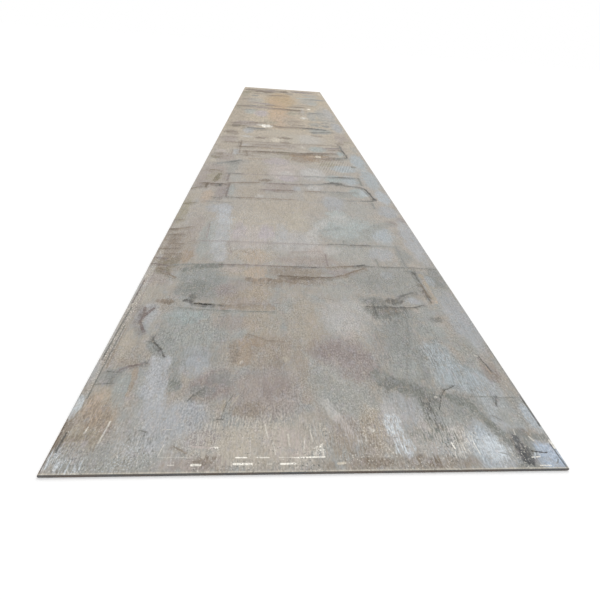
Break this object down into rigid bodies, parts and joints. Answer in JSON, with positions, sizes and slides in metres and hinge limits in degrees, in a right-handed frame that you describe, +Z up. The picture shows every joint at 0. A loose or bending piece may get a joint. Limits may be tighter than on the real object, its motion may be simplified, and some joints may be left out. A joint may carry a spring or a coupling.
{
  "type": "steel plate",
  "caption": "Flat rectangular hot-rolled steel plate of stock size, with as-rolled long edges and sheared ends, lying flat.",
  "frame": {"origin": "centre of the underside", "axes": "+Y along the plate's length, +X across its width, +Z up out of the top face"},
  "size_m": [2, 12, 0.014],
  "materials": {
    "hot_rolled_steel": "matte"
  },
  "bodies": {
    "root": {"plate": "hot_rolled_steel"}
  },
  "joints": []
}
